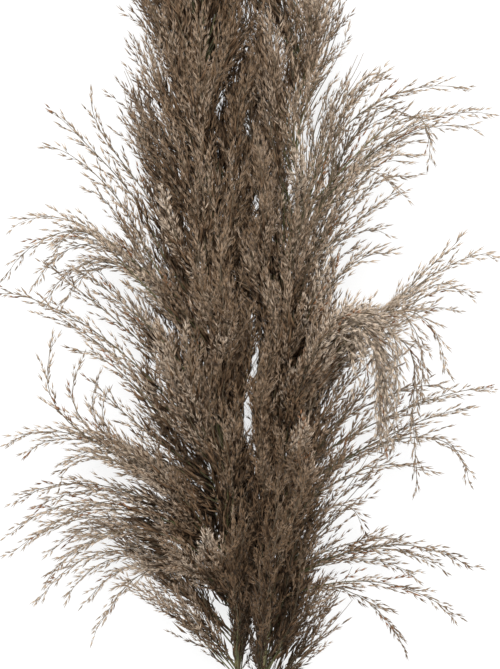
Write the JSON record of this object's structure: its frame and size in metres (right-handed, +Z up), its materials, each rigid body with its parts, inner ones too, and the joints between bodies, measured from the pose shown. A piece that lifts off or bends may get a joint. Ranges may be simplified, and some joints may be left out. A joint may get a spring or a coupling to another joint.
{
  "type": "dried pampas grass",
  "caption": "Tied bunch of dried pampas grass plumes with feathery taupe heads on bare straw stems, lying on its side.",
  "frame": {"origin": "on the surface that the bunch lies on, under the middle of its bounding box", "axes": "+Z up from that surface, +Y along the bunch from the cut stem ends to the plume tips, +X across it to the right plume"},
  "size_m": [0.5258, 1.292, 0.2315],
  "materials": {
    "culm": "satin",
    "head": "matte",
    "twine": "matte"
  },
  "bodies": {
    "root": {"left_culm": "culm", "right_culm": "culm", "left_head": "head", "right_head": "head", "twine": "twine"}
  },
  "joints": []
}
